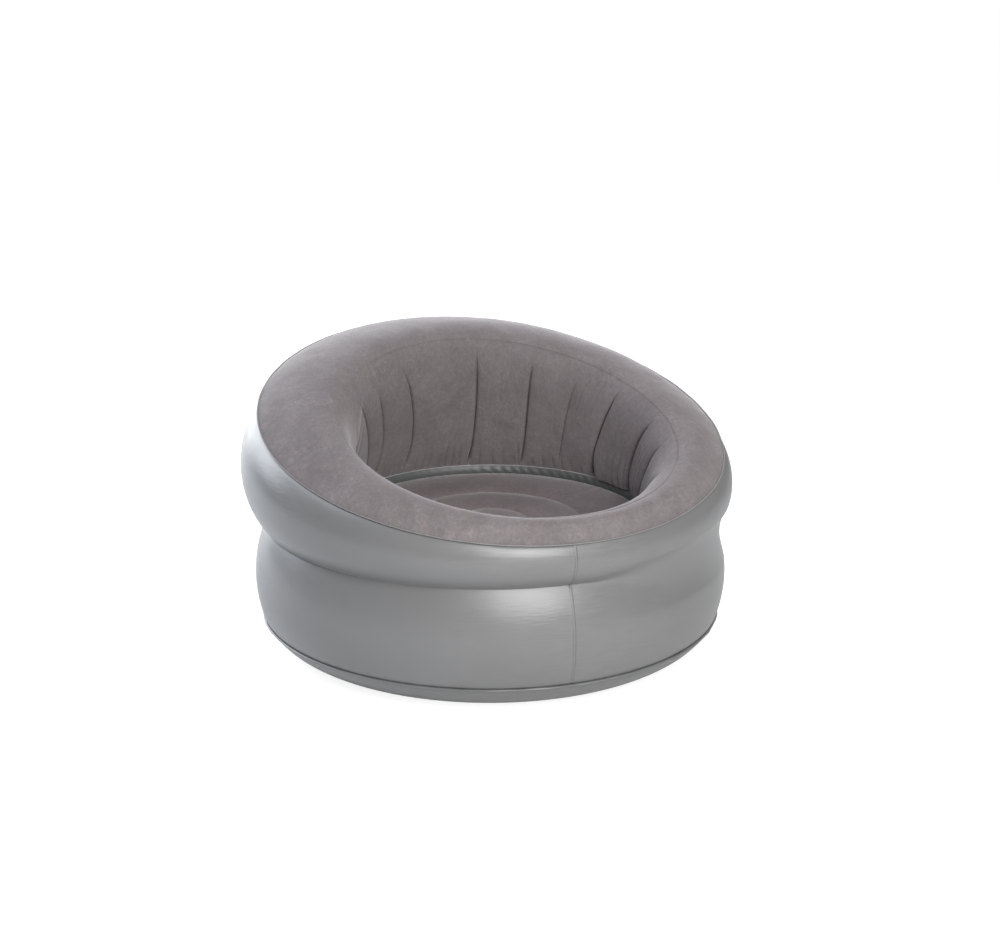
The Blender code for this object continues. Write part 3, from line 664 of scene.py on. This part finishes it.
def seam_lines(section, waist, degrees, crisp):
    """How far the wall is drawn in along its seams and its waist, and how much painted shade it gets
    there.

    crisp says, from 0 to 1, how sharp the waist is in each column. It is softest on the right.
    """
    lengths = np.linalg.norm(np.diff(section, axis=1), axis=-1)
    run = np.concatenate([np.zeros((len(section), 1)), np.cumsum(lengths, 1)], 1)
    from_waist = np.abs(run - run[:, waist:waist + 1])
    to_rim = run[:, -1:] - run
    pinch = 0.0016 * np.exp(-to_rim / 0.0035) + 0.0020 * np.exp(-run / 0.0035)
    pinch += 0.0003 * crisp * np.exp(-from_waist / 0.0014)
    left = smooth((-52.0 - degrees) / 26.0)
    front_left = smooth((4.0 - degrees) / 30.0)
    # Painted shade: dark lines where shade falls in the waist's crease, under the rim flange and
    # along the base seam.
    painted_shade = (0.03 + 0.80 * left) * crisp * peak(from_waist, 0.0022)
    painted_shade += (0.10 + 0.75 * front_left) * peak(to_rim, 0.0030)
    painted_shade += 0.50 * peak(run, 0.0028)
    return pinch, painted_shade


def wall_dimples(grid):
    """Shallow dimples of blown film, and a hollow ring that clears the valve's open cap."""
    away = valve_distance(grid)
    soft = 0.0006 * dimples(grid, 7.0, 1) * edge_free(grid.shape[1])
    soft *= np.clip((away - 0.070) / 0.060, 0.0, 1.0)
    return soft - 0.0006 * smooth((0.085 - away) / 0.035) * smooth((away - 0.028) / 0.010)


def valve_distance(grid):
    """How far each point of the back wall lies from the valve's axis, and 1 m in the front."""
    distance = np.hypot(grid[..., 0], grid[..., 2] - VALVE_HEIGHT)
    return np.where(grid[..., 1] > 0.3, distance, 1.0)


def flatten_at_valve(grid):
    """The wall lies flat where the valve's flange is welded behind it."""
    share = smooth((valve_distance(grid) - 0.028) / 0.050)
    depth = grid[..., 1]
    result = grid.copy()
    result[..., 1] = np.where(depth > 0.3, VALVE_DEPTH + (depth - VALVE_DEPTH) * share, depth)
    return result


def cut_valve_hole(item):
    """Cut the wall open round the valve's neck."""
    sides = 48
    turn = around(sides)
    outline = VALVE_HOLE_RADIUS * np.stack([np.sin(turn), 0.0 * turn, np.cos(turn)], axis=-1)
    outline += np.array([0.0, VALVE_DEPTH, VALVE_HEIGHT])
    reach = np.array([0.0, 0.02, 0.0])
    faces = [(k, (k + 1) % sides, (k + 1) % sides + sides, k + sides) for k in range(sides)]
    faces.append(tuple(reversed(range(sides))))
    faces.append(tuple(range(sides, 2 * sides)))
    verts = np.concatenate([outline - reach, outline + reach])
    cutter = add_object("hole_cutter", new_mesh("hole_cutter", verts, faces))
    modifier = item.modifiers.new("Hole", "BOOLEAN")
    modifier.operation = "DIFFERENCE"
    modifier.solver = "EXACT"
    modifier.object = cutter
    apply_modifiers(item)
    item.data.set_sharp_from_angle(angle=SHARP_EDGE)
    bpy.data.objects.remove(cutter)


def make_top_panel():
    share = dense_ends(44, 0.80)[None, :]
    turn = around(360)[:, None] + 0.0 * share
    grid = place(turn, top_points(turn, share + 0.0 * turn))
    soft = 0.0010 * dimples(grid, 6.0, 2) + 0.0004 * dimples(grid, 22.0, 3)
    soft *= edge_free(share.shape[1])
    width = np.linalg.norm(grid[:, -1] - grid[:, 0], axis=-1)[:, None]
    pinch = lip_pinch(turn) * np.exp(-width * (1.0 - share) / 0.0025)
    grid = grid + grid_normals(grid, True) * (soft - pinch)[..., None]
    item = make_shell("rim_cushion", grid, FLOCKED_FILM, FLOCK)
    stand_for(item, "top_panel")


def lip_pinch(turn):
    """How far the lip weld draws both sheets in: little at the back, where they lie smooth."""
    off = np.abs(signed(turn - math.radians(200.0)))
    return 0.0007 * (0.10 + 0.90 * smooth((np.degrees(off) - 45.0) / 50.0))


# Inner wall

def fold_turn(fold, share):
    """The angle of a fold's line round the chair at each share of the way down the wall."""
    middle = share * (1.0 - share)
    way = share + fold.bow * middle + fold.bend * middle * (1.0 - 2.0 * share)
    return np.radians(fold.lip + (fold.foot - fold.lip) * way)


def bay_columns(parts_per_radian, pull):
    """The inner wall's columns as (bay, share across it), each bay from one fold to the next."""
    columns = []
    for bay, fold in enumerate(FOLDS):
        following = FOLDS[(bay + 1) % len(FOLDS)]
        width = math.radians((following.lip - fold.lip) % 360.0)
        parts = max(6, round(width * parts_per_radian))
        columns.extend((bay, share) for share in dense_ends(parts + 1, pull)[:-1])
    return columns


def column_turns(columns, share):
    """The angle of every point of the inner wall's grid."""
    lines = [fold_turn(fold, share) for fold in FOLDS]
    lines.append(lines[0] + FULL_TURN)
    return np.stack([lines[bay] * (1.0 - t) + lines[bay + 1] * t for bay, t in columns])


def fold_strength(fold, share):
    """How much of a fold's depth there is along it, 0 at its ends."""
    along = (share - fold.first) / (fold.last - fold.first)
    return smooth(along / 0.40) * smooth((1.0 - along) / 0.14)


def drawn_in(folds, turn, share, radius, widen=1.0, power=1.0):
    """How far the folds draw the wall in: a valley along each, and the ridge beside it."""
    total = np.zeros(turn.shape)
    for fold in folds:
        across = signed(turn - fold_turn(fold, share)) * radius
        valley = fold.depth * np.exp(-(np.abs(across) / (fold.half_width * widen)) ** power)
        if power == 1.0 and fold.ridge:
            side = across * math.copysign(1.0, fold.ridge)
            valley -= abs(fold.ridge) * peak(side - 0.0042, 0.0024)
        total += fold_strength(fold, share) * valley
    return total


def foot_gathers():
    """Short small wrinkles that stand on the foot weld, all round the wall."""
    gathers = []
    angle = -180.0
    while angle < 179.0:
        chance = float(ripple(np.array([math.radians(angle)]), 300.0, 21)[0])
        gathers.append(Fold(
            lip=angle - 2.0, foot=angle, bow=0.0, bend=0.0, depth=0.0010 + 0.0010 * abs(chance),
            half_width=0.0030, first=0.78 + 0.10 * chance, last=1.06))
        angle += 4.0 + 2.2 * chance
    return gathers


def blow_up(points, rest, held, pressure, reach):
    """How a short cloth simulation moves a closed ring of sheet when it is blown up.

    points and rest are grids (column, step, 3): where the sheet starts and how it was cut. held
    says which points the welds hold. No point moves further than reach.
    """
    rows, steps = points.shape[:2]
    mesh = new_mesh("sheet", points.reshape(-1, 3), grid_quads(rows, steps, True))
    item = add_object("sheet", mesh)
    item.shape_key_add(name="start")
    cut = item.shape_key_add(name="cut")
    cut.data.foreach_set("co", rest.astype(np.float32).ravel())
    group = item.vertex_groups.new(name="held")
    group.add([int(i) for i in np.flatnonzero(held.ravel())], 1.0, "REPLACE")
    modifier = item.modifiers.new("Blow", "CLOTH")
    settings = modifier.settings
    settings.quality = 5
    settings.mass = 0.3
    settings.tension_stiffness = 15.0
    settings.compression_stiffness = 15.0
    settings.bending_stiffness = 0.4
    settings.use_pressure = True
    settings.uniform_pressure_force = pressure
    settings.vertex_group_mass = "held"
    settings.rest_shape_key = cut
    settings.effector_weights.gravity = 0.0
    modifier.collision_settings.use_collision = False
    modifier.point_cache.frame_start = 1
    modifier.point_cache.frame_end = 20
    for number in range(1, 21):
        bpy.context.scene.frame_set(number)
    graph = bpy.context.evaluated_depsgraph_get()
    blown = item.evaluated_get(graph).to_mesh()
    found = np.zeros(rows * steps * 3, np.float32)
    blown.vertices.foreach_get("co", found)
    item.evaluated_get(graph).to_mesh_clear()
    bpy.data.objects.remove(item)
    bpy.data.meshes.remove(mesh)
    bpy.context.scene.frame_set(1)
    move = found.reshape(rows, steps, 3).astype(float) - points
    length = np.maximum(np.linalg.norm(move, axis=-1, keepdims=True), 1e-9)
    return move * np.minimum(1.0, reach / length)


def between(grid, at, axis, closed):
    """The grid's values at fractional places along one axis, on a smooth curve through them."""
    count = grid.shape[axis]
    low = np.floor(at).astype(int)
    t = (at - low).reshape([-1 if i == axis else 1 for i in range(grid.ndim)])
    picks = []
    for shift in (-1, 0, 1, 2):
        index = low + shift
        index = index % count if closed else np.clip(index, 0, count - 1)
        picks.append(np.take(grid, index, axis=axis))
    a, b, c, d = picks
    return b + 0.5 * t * (c - a + t * (2 * a - 5 * b + 4 * c - d + t * (3 * (b - c) + d - a)))


def plain_wall(columns, share):
    """The inner wall without folds: the angle, share, radius, place and normal of each point."""
    turn = column_turns(columns, share)
    share = share[None, :] + 0.0 * turn
    section = wall_points(turn, share)
    grid = place(turn, section)
    return turn, share, section[..., 0], grid, grid_normals(grid, True)


def wall_moves():
    """The blown-up inner wall's moves off its plain section, on a coarse grid."""
    columns = bay_columns(78.0, 0.0)
    steps = 56
    turn, share, radius, plain, normals = plain_wall(columns, np.linspace(0.0, 1.0, steps))
    valley = drawn_in(FOLDS, turn, share, radius, widen=8.0, power=2.0)
    soft = 0.0008 * dimples(plain, 9.0, 4) * edge_free(steps)
    start = plain + normals * (soft - 0.75 * valley)[..., None]
    spare = 0.010 + 0.022 * share ** 4 + 0.010 * (1.0 - share) ** 4
    rest = start.copy()
    rest[..., :2] *= (1.0 + spare)[..., None]
    held = np.zeros(turn.shape, bool)
    held[:, [0, -1]] = True
    for row, (bay, t) in enumerate(columns):
        if t == 0.0:
            held[row] |= fold_strength(FOLDS[bay], share[row]) > 0.35
    return columns, start - plain + blow_up(start, rest, held, pressure=4.0, reach=0.009)


def overhang(turn, share):
    """How far the wall's foot bulges over the band on the right: inwards, and down."""
    degrees = signed_degrees(turn)
    where = smooth((degrees - 35.0) / 30.0) * smooth((111.5 - degrees) / 5.0)
    rise = smooth((share - 0.55) / 0.38) * smooth((1.0 - share) / 0.035)
    drop = smooth((share - 0.80) / 0.16) * smooth((1.0 - share) / 0.020)
    return 0.0100 * where * rise, 0.0045 * where * drop


def make_inner_wall():
    """The wall round the seat: its plain section, blown up and then folded."""
    coarse, moves = wall_moves()
    columns = bay_columns(200.0, 0.60)
    starts = [coarse.index((bay, 0.0)) for bay in range(len(FOLDS))] + [len(coarse)]
    at = np.array([starts[bay] + t * (starts[bay + 1] - starts[bay]) for bay, t in columns])
    moves = between(moves, at, 0, True)
    share = 1.0 - (1.0 - np.linspace(0.0, 1.0, 80)) ** 1.4
    moves = between(moves, share * (moves.shape[1] - 1.0), 1, False)
    turn, share, radius, grid, normals = plain_wall(columns, share)
    creases = drawn_in(FOLDS, turn, share, radius)
    creases += drawn_in(WRINKLES, turn, share, radius)
    creases += drawn_in(foot_gathers(), turn, share, radius, power=2.0)
    creases *= smooth(share / 0.04) * smooth((1.0 - share) / 0.015)
    # Painted shade: the flock's colour darkens deep in the folds, wrinkles and gathers.
    painted_shade = np.clip(creases / 0.0070, 0.0, 1.0)
    creases += lip_pinch(turn) * np.exp(-0.28 * share / 0.0025)
    grid = grid + moves - normals * creases[..., None]
    over, down = overhang(turn, share)
    grid[..., :2] *= (1.0 - over / radius)[..., None]
    grid[..., 2] -= down
    item = make_shell("inner_wall_skin", grid, FLOCKED_FILM, FLOCK, crease=painted_shade)
    stand_for(item, "inner_wall")


# Seat and its band

def make_band():
    """The band of film, swollen a little, with slanting gathers that are deepest on the right."""
    share = np.linspace(0.0, 1.0, 12)[None, :]
    turn = around(420)[:, None] + 0.0 * share
    start, end = seams_at(turn, FOOT_SEAM, SEAT_SEAM)
    lean = turn + share * 0.045
    stripes = np.sin(92.0 * lean + 2.2 * ripple(lean, 30.0, 6))
    mask = 0.25 + 0.75 * np.clip(np.cos(turn - math.radians(118.0)), 0.0, 1.0) ** 1.5
    swell = np.sin(math.pi * share) * (0.0022 + 0.0012 * stripes * mask)
    section = start + (end - start) * share[..., None]
    section = section + right_of(unit(end - start)) * swell[..., None]
    item = make_shell("band_skin", place(turn, section), FILM, BAND_GREEN)
    stand_for(item, "seat_band")


def seat_height(radius):
    """The seat between its edge and its ring welds, each ring of sheet crowned."""
    welds = ((SEAT_RADIUS, SEAT_SEAM[1][0]), (OUTER_WELD_RADIUS, SEAT_WELD_HEIGHT),
             (INNER_WELD_RADIUS, SEAT_WELD_HEIGHT), (-INNER_WELD_RADIUS, SEAT_WELD_HEIGHT))
    crowns = (SEAT_CROWN_HEIGHT, SEAT_MIDDLE_HEIGHT, SEAT_MIDDLE_HEIGHT)
    height = np.zeros_like(radius)
    for (outer, z_outer), (inner, z_inner), crown in zip(welds[:-1], welds[1:], crowns):
        u = np.clip((radius - inner) / (outer - inner), 0.0, 1.0)
        base = z_inner + (z_outer - z_inner) * u
        full = (1.0 - np.abs(2.0 * u - 1.0) ** 2.4) ** 0.80
        inside = (radius <= outer + 1e-9) & (radius >= inner)
        height = np.where(inside, base + (crown - base) * full, height)
    return height


def seat_section(angle, radius):
    """The seat with gathers beside its welds and one crease that runs in from its right edge."""
    height = seat_height(radius)
    for weld, reach, clear, waves, seed in (
            (OUTER_WELD_RADIUS, 0.016, 0.004, 46.0, 8), (INNER_WELD_RADIUS, 0.016, 0.004, 22.0, 9),
            (SEAT_RADIUS, 0.020, 0.005, 60.0, 10)):
        off = np.abs(radius - weld)
        near = np.exp(-off / reach) * (1.0 - np.exp(-off / clear))
        height = height + 0.0016 * near * ripple(angle, waves, seed)
    line = math.radians(108.0) - 1.2 * (SEAT_RADIUS - radius)
    across = np.abs(signed(angle - line)) * radius
    along = np.clip((radius - 0.262) / 0.06, 0.0, 1.0)
    along *= np.clip((SEAT_RADIUS - radius) / 0.008, 0.0, 1.0)
    return np.stack([radius, height - 0.0040 * along * np.exp(-across / 0.0028)], axis=-1)


def make_seat():
    welds = (SEAT_RADIUS, OUTER_WELD_RADIUS, INNER_WELD_RADIUS, 0.006)
    radii = []
    for outer, inner, parts in zip(welds[:-1], welds[1:], (30, 26, 18)):
        radii.extend(outer + (inner - outer) * dense_ends(parts + 1, 0.6)[:-1])
    radii.append(welds[-1])
    counts = ring_counts(radii, (0.19, 0.075, 0.03))
    top = disc_points(seat_section, radii + [0.0], counts + [1])
    under = top - np.array([0.0, 0.0, FLOCKED_FILM])
    item = make_disc("seat_cushion", top, under, counts, SEAT_FLOCK)
    stand_for(item, "seat_panel")


# Base

def base_curl(angle, share):
    """The base's curl from the floor up to its seam."""
    still = 0.0 * angle
    floor = np.stack([FLOOR_OUTER_RADIUS + still, still], axis=-1)
    leave = np.stack([1.0 + still, still], axis=-1)
    arrive = unit(np.stack([0.42 + still, 1.0 + still], axis=-1))
    seam = seam_points(BASE_SEAM, angle)
    return swelling_curve(floor, seam, leave, arrive, BASE_CURL_RISE + still, share)


def base_section(angle, radius):
    """The base inside its curl: the ring that it stands on, then drawn up at the webs' welds."""
    stops = ((FLOOR_INNER_RADIUS, 0.0), (OUTER_WELD_RADIUS, BASE_WELD_HEIGHT),
             (0.5 * (OUTER_WELD_RADIUS + INNER_WELD_RADIUS), BASE_SWELL_HEIGHT),
             (INNER_WELD_RADIUS, BASE_WELD_HEIGHT), (0.050, 0.0))
    height = np.zeros_like(radius)
    for (outer, z_outer), (inner, z_inner) in zip(stops[:-1], stops[1:]):
        ease = smooth((radius - inner) / (outer - inner))
        inside = (radius <= outer) & (radius >= inner)
        height = np.where(inside, z_inner + (z_outer - z_inner) * ease, height)
    return np.stack([radius, height], axis=-1)


def make_base():
    """One round sheet, its inner side a film's thickness along the outer side's normals."""
    shares = 1.0 - np.linspace(0.0, 1.0, 22)
    radii = list(np.linspace(FLOOR_OUTER_RADIUS, 0.01, 64)[1:])
    curl_counts = [384] * len(shares)
    flat_counts = ring_counts(radii, (0.25, 0.1, 0.04))
    counts = curl_counts + flat_counts
    outer = np.concatenate([disc_points(base_curl, shares, curl_counts),
                            disc_points(base_section, radii + [0.0], flat_counts + [1])])
    probe = new_mesh("probe", outer, disc_faces(counts, upwards=False))
    normals = np.zeros(outer.size, np.float32)
    probe.vertices.foreach_get("normal", normals)
    bpy.data.meshes.remove(probe)
    inner = outer - FILM * normals.reshape(-1, 3)
    item = make_disc("base_skin", outer, inner, counts, FILM_GREY, upwards=False)
    stand_for(item, "base_panel")


# Welds

def make_weld(name, node, material, seam, before, after, inside, outside, half,
              waves=0.0, wander=0.0, tilt=0.0, droop=0.0):
    """A weld's flange or bead: a flat ring with a round outer edge, a little uneven.

    before and after are points of the two sheets, close to the seam in every column. The ring
    reaches from inside to outside of the seam and half its thickness to either side.
    """
    angle = around(len(before))
    spot = seam_points(seam, angle)
    way = unit(unit(after - spot) - unit(before - spot))
    reach = outside + wander * ripple(angle, waves, 12.0)
    lean = tilt + droop * ripple(angle, 0.7 * waves, 13.0)
    flange = unit(right_of(way) + lean[:, None] * way)
    root = np.full(angle.shape, -inside)
    outline = ((root, -1.0), (0.4 * reach, -1.0), (0.85 * reach, -0.75), (reach, 0.0),
               (0.85 * reach, 0.75), (0.4 * reach, 1.0), (root, 1.0))
    rings = np.stack([
        place(angle, spot + length[:, None] * flange - off * half * right_of(flange))
        for length, off in outline], axis=1)
    faces = grid_quads(*rings.shape[:2], True, closed_section=True)
    stand_for(make_piece(name, rings.reshape(-1, 3), faces, material), node)


def make_welds():
    angle = around(480)
    near = np.full(angle.shape, 0.02)
    far = 1.0 - near
    beside = np.full(angle.shape, SEAT_RADIUS - 0.004)
    seat = np.stack([beside, seat_height(beside)], axis=-1)
    foot, seat_edge = seams_at(angle, FOOT_SEAM, SEAT_SEAM)
    make_weld("base_flange", "base_weld", WELD_GREY, BASE_SEAM,
              base_curl(angle, far), on_arc(lower_arc(angle), near),
              0.001, 0.0045, 0.0007, waves=90.0, wander=0.0012, tilt=-0.2, droop=0.35)
    # The flange's pale grey is in part painted highlight.
    make_weld("rim_flange", "rim_weld", RIM_FLANGE_AND_HIGHLIGHT, RIM_SEAM,
              on_arc(upper_arc(angle), far), top_points(angle, near),
              0.0030, 0.0040, 0.0009, waves=60.0, wander=0.0005, droop=0.12)
    make_weld("lip_bead", "lip_weld", FLOCK, LIP_SEAM,
              top_points(angle, far), wall_points(angle, near), 0.0012, 0.0006, 0.0008)
    make_weld("foot_bead", "foot_weld", EDGE_GREY, FOOT_SEAM,
              wall_points(angle, far), seat_edge,
              0.0008, 0.0018, 0.0009, waves=40.0, wander=0.0003)
    make_weld("seat_bead", "seat_weld", SEAT_EDGE, SEAT_SEAM,
              foot, seat, 0.001, 0.0012, 0.0008, waves=40.0, wander=0.0003)


def make_seam_lap():
    """The wall sheet's lapped ends: a strip that stands a film's thickness off the wall."""
    width = 0.0060
    thickness = 0.0007
    across = width * np.array([-0.5, -0.44, -0.2, 0.0, 0.2, 0.36, 0.44, 0.5])
    lifts = np.array([0.0, 1.2, 1.0, 0.9, 0.9, 0.8, 0.4, 0.0])
    # Painted shade along one edge of the strip, where the lap's step casts its shadow.
    painted_shade_across = np.array([0.0, 0.0, 0.0, 0.0, 0.2, 0.9, 1.0, 1.0])
    stops = 60
    angle = np.full(stops, SEAM_ANGLE)
    lower = on_arc(lower_arc(angle), np.linspace(0.02, 1.0, stops))
    upper = on_arc(upper_arc(angle), np.linspace(0.0, 0.985, stops))
    section = round_corner(np.concatenate([lower[:-1], upper])[None], stops - 1, 4)[0]
    out = right_of(unit(np.gradient(section, axis=0)))
    grid = np.stack([
        place(SEAM_ANGLE + off / section[:, 0], section + out * (0.0002 + 0.00045 * lift))
        for off, lift in zip(across, lifts)])
    painted_shade = painted_shade_across[:, None] * np.ones(grid.shape[1])
    item = make_shell("seam_lap_strip", grid, thickness, FILM_GREY, False, painted_shade)
    stand_for(item, "wall_seam_lap")


# Valve and inner webs

def dress_nodes():
    """The thin films inside keep their CAD shapes and only take their look."""
    for name in ("waist_web", "seat_web_outer", "seat_web_inner", "valve_flap"):
        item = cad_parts[name]
        item.data.materials.clear()
        item.data.materials.append(INNER_FILM)


def make_valve():
    """The valve's moulded pieces in their CAD shapes, with rounded edges and smooth curves."""
    bodies = {
        "valve_base": "chair", "plug_strap_collar": "chair", "deflate_plug": "plug",
        "deflate_plug_strap": "plug", "inflate_cap": "cap", "inflate_cap_strap": "cap",
    }
    same_point = 1e-6
    for node, body in bodies.items():
        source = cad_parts[node]
        mesh = bpy.data.meshes.new(node + "_moulded")
        work = bmesh.new()
        work.from_mesh(source.data)
        work.transform(source.matrix_world)
        bmesh.ops.remove_doubles(work, verts=work.verts, dist=same_point)
        work.to_mesh(mesh)
        work.free()
        mesh.materials.append(VALVE)
        item = add_object(node + "_moulded", mesh)
        rounding = item.modifiers.new("Rounding", "BEVEL")
        rounding.width = 0.00025
        rounding.segments = 2
        rounding.limit_method = "ANGLE"
        rounding.angle_limit = SHARP_EDGE
        apply_modifiers(item)
        item.data.shade_smooth()
        item.data.set_sharp_from_angle(angle=SHARP_EDGE)
        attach(item, body)
        stand_for(item, node)


# Stage, lamps and camera

def make_stage():
    """A floor just under the chair that looks white, so that only its faint shadow shows."""
    material, look, shader = new_material("look_floor")
    seen = look.add("LightPath", {}).outputs["Is Camera Ray"]
    pale = look.spread(seen, 0.94, 0.35, 0.0, 1.0)
    look.feed(shader, {"Base Color": look.tinted(WHITE, pale), "Roughness": 0.9,
                       "Specular IOR Level": 0.1})
    white = look.spread(look.length(look.place()), 0.86, 1.0, 1.0, 4.0)
    glow = look.add("Emission", {"Color": (*WHITE, 1.0), "Strength": look.times(seen, white)})
    both = look.add("AddShader", {0: shader.outputs[0], 1: glow.outputs[0]})
    look.feed(look.nodes["Material Output"], {"Surface": both.outputs[0]})
    size = 14.0
    corners = [(-size, -size, 0.0), (size, -size, 0.0), (size, size, 0.0), (-size, size, 0.0)]
    floor = add_object("floor", new_mesh("floor", corners, [(0, 1, 2, 3)]))
    floor.data.materials.append(material)
    floor.location.z = -0.0006


def make_world():
    """White for the camera, dim for the light on things, and brighter where film mirrors it."""
    world = bpy.data.worlds.new("studio")
    bpy.context.scene.world = world
    look = Look(world)
    path = look.add("LightPath", {}).outputs
    seen = look.times(path["Is Camera Ray"], 1.0 - WORLD_LIGHT)
    glow = look.times(path["Is Glossy Ray"], WORLD_MIRRORED - WORLD_LIGHT)
    look.feed(look.nodes["Background"], {
        "Color": (*WHITE, 1.0), "Strength": look.plus(look.plus(seen, glow), WORLD_LIGHT)})


def stand_off(item, aim, turn, rise, distance):
    """Put a lamp or the camera at a distance from the point that it faces."""
    way = Vector((math.sin(turn) * math.cos(rise), -math.cos(turn) * math.cos(rise),
                  math.sin(rise)))
    item.location = aim + distance * way
    item.rotation_euler = (-way).to_track_quat("-Z", "Y").to_euler()


def add_softbox(name, azimuth, elevation, distance, size, power, colour):
    """A soft lamp that faces the chair's middle."""
    data = bpy.data.lights.new(name, "AREA")
    data.shape = "RECTANGLE"
    data.size, data.size_y = size
    data.energy = power
    data.color = colour
    item = add_object(name, data)
    item.visible_camera = False
    aim = Vector((0.0, 0.0, 0.35))
    stand_off(item, aim, math.radians(azimuth), math.radians(elevation), distance)


def make_camera():
    data = bpy.data.cameras.new("camera")
    data.sensor_fit = "HORIZONTAL"
    data.sensor_width = SENSOR
    data.lens = FOCAL_PIXELS / PICTURE_WIDTH * SENSOR
    item = add_object("camera", data)
    sideways = Vector((math.cos(CAMERA_TURN), math.sin(CAMERA_TURN), 0.0))
    aim = CAMERA_AIM_SIDEWAYS * sideways + Vector((0.0, 0.0, CAMERA_AIM_HEIGHT))
    stand_off(item, aim, CAMERA_TURN, CAMERA_RISE, CAMERA_DISTANCE)
    bpy.context.scene.camera = item


make_camera()
make_stage()
make_world()
for lamp in LAMPS:
    add_softbox(*lamp)
dress_nodes()
make_outer_wall()
make_top_panel()
make_inner_wall()
make_band()
make_seat()
make_base()
make_welds()
make_seam_lap()
make_valve()

bpy.context.scene.view_settings.view_transform = "Standard"
